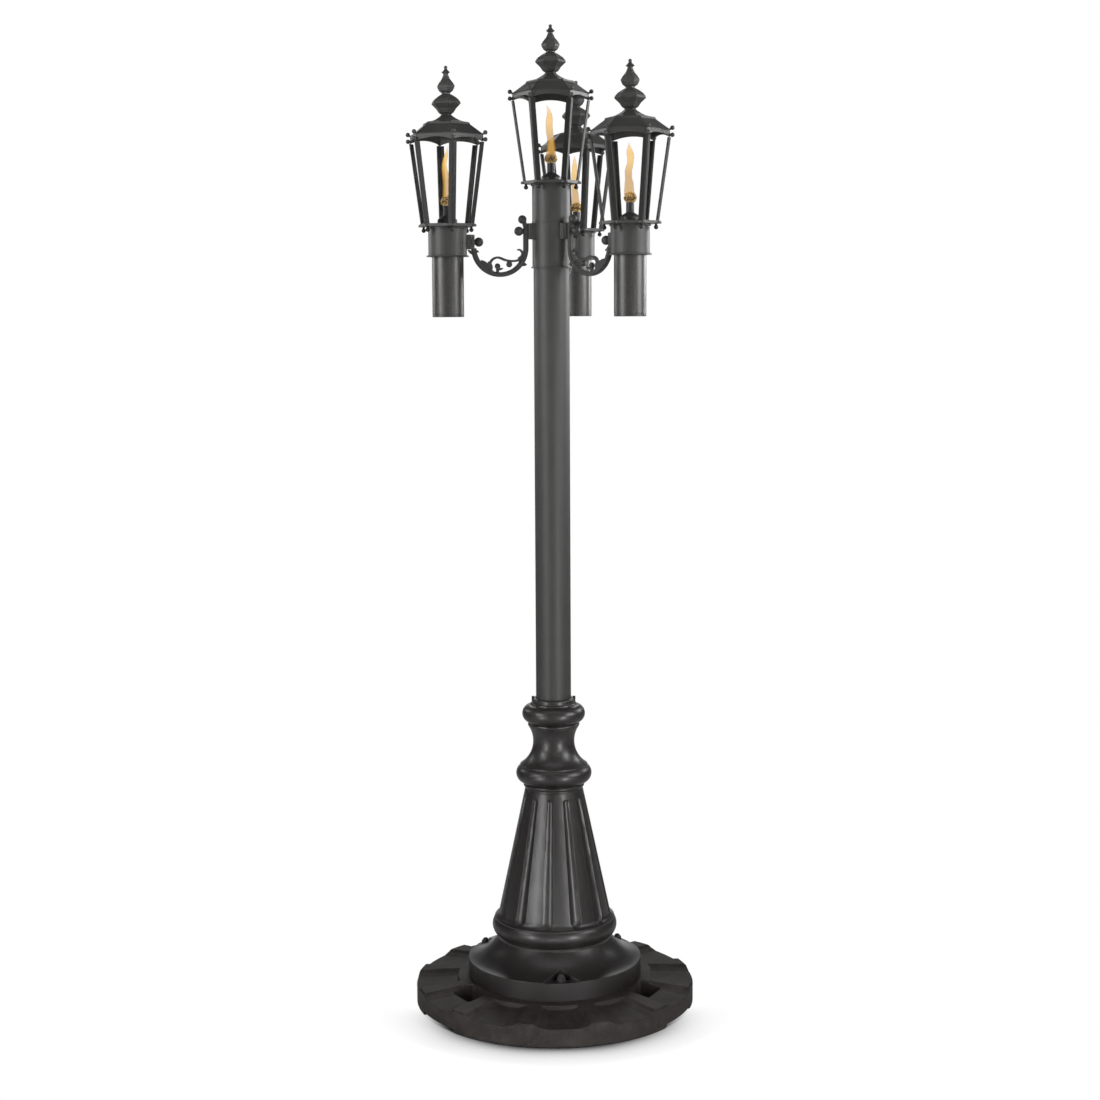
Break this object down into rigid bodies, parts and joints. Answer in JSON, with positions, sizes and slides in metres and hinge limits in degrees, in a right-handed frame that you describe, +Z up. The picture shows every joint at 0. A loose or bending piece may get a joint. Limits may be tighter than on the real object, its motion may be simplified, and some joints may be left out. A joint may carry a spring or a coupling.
{
  "type": "citronella patio lamp",
  "caption": "Tall street-style patio lamp: lanterns with oil cans on a pole and scroll arms, on a fluted pedestal and a round weighted base",
  "frame": {"origin": "the middle of the flat underside of the base disc, on the pole's axis", "axes": "+Z up along the pole; the lamp is seen from -Y with +X to the right, and the back lantern stands at 75.5 degrees from +X"},
  "size_m": [0.61, 0.61, 2.108],
  "materials": {
    "lantern_paint": "satin",
    "arm_paint": "satin",
    "pole_paint": "satin",
    "can_paint": "gloss",
    "pedestal_plastic": "satin",
    "base_composite": "matte",
    "screw_metal": "satin",
    "wick_fibre": "matte"
  },
  "bodies": {
    "stand": {"base_disc": "base_composite", "pedestal": "pedestal_plastic", "foot_bolts": "screw_metal", "pedestal_screws": "screw_metal", "pole_lower": "pole_paint", "pole_coupler": "pole_paint", "pole_upper": "pole_paint", "hub_sleeve": "arm_paint", "arm_left": "arm_paint", "arm_right": "arm_paint", "arm_back": "arm_paint", "arm_screws_left": "arm_paint", "arm_screws_right": "arm_paint", "arm_screws_back": "arm_paint", "collar_centre": "lantern_paint", "collar_left": "lantern_paint", "collar_right": "lantern_paint", "collar_back": "lantern_paint"},
    "head_centre": {"plate_centre": "lantern_paint", "plate_nuts_centre": "lantern_paint", "posts_centre": "lantern_paint", "roof_centre": "lantern_paint", "finial_centre": "lantern_paint"},
    "fuel_can_centre": {"can_centre": "can_paint"},
    "burner_centre": {"burner_cap_centre": "screw_metal", "wick_centre": "wick_fibre"},
    "head_left": {"plate_left": "lantern_paint", "plate_nuts_left": "lantern_paint", "posts_left": "lantern_paint", "roof_left": "lantern_paint", "finial_left": "lantern_paint"},
    "fuel_can_left": {"can_left": "can_paint"},
    "burner_left": {"burner_cap_left": "screw_metal", "wick_left": "wick_fibre"},
    "head_right": {"plate_right": "lantern_paint", "plate_nuts_right": "lantern_paint", "posts_right": "lantern_paint", "roof_right": "lantern_paint", "finial_right": "lantern_paint"},
    "fuel_can_right": {"can_right": "can_paint"},
    "burner_right": {"burner_cap_right": "screw_metal", "wick_right": "wick_fibre"},
    "head_back": {"plate_back": "lantern_paint", "plate_nuts_back": "lantern_paint", "posts_back": "lantern_paint", "roof_back": "lantern_paint", "finial_back": "lantern_paint"},
    "fuel_can_back": {"can_back": "can_paint"},
    "burner_back": {"burner_cap_back": "screw_metal", "wick_back": "wick_fibre"}
  },
  "joints": [
    {"name": "head_lift_centre", "type": "slide", "parent": "stand", "child": "head_centre", "axis": [0, 0, 1], "range_m": [0, 0.25]},
    {"name": "head_lift_left", "type": "slide", "parent": "stand", "child": "head_left", "axis": [0, 0, 1], "range_m": [0, 0.25]},
    {"name": "head_lift_right", "type": "slide", "parent": "stand", "child": "head_right", "axis": [0, 0, 1], "range_m": [0, 0.25]},
    {"name": "head_lift_back", "type": "slide", "parent": "stand", "child": "head_back", "axis": [0, 0, 1], "range_m": [0, 0.25]},
    {"name": "can_lift_centre", "type": "slide", "parent": "stand", "child": "fuel_can_centre", "axis": [0, 0, 1], "range_m": [0, 0.15]},
    {"name": "can_lift_left", "type": "slide", "parent": "stand", "child": "fuel_can_left", "axis": [0, 0, 1], "range_m": [0, 0.15]},
    {"name": "can_lift_right", "type": "slide", "parent": "stand", "child": "fuel_can_right", "axis": [0, 0, 1], "range_m": [0, 0.15]},
    {"name": "can_lift_back", "type": "slide", "parent": "stand", "child": "fuel_can_back", "axis": [0, 0, 1], "range_m": [0, 0.15]},
    {"name": "cap_turn_centre", "type": "hinge", "parent": "fuel_can_centre", "child": "burner_centre", "pos_m": [0, 0, 1.789], "axis": [0, 0, 1], "continuous": true},
    {"name": "cap_turn_left", "type": "hinge", "parent": "fuel_can_left", "child": "burner_left", "pos_m": [-0.21682, -0.06013, 1.698], "axis": [0, 0, 1], "continuous": true},
    {"name": "cap_turn_right", "type": "hinge", "parent": "fuel_can_right", "child": "burner_right", "pos_m": [0.16048, -0.1577, 1.698], "axis": [0, 0, 1], "continuous": true},
    {"name": "cap_turn_back", "type": "hinge", "parent": "fuel_can_back", "child": "burner_back", "pos_m": [0.05634, 0.21783, 1.698], "axis": [0, 0, 1], "continuous": true}
  ]
}
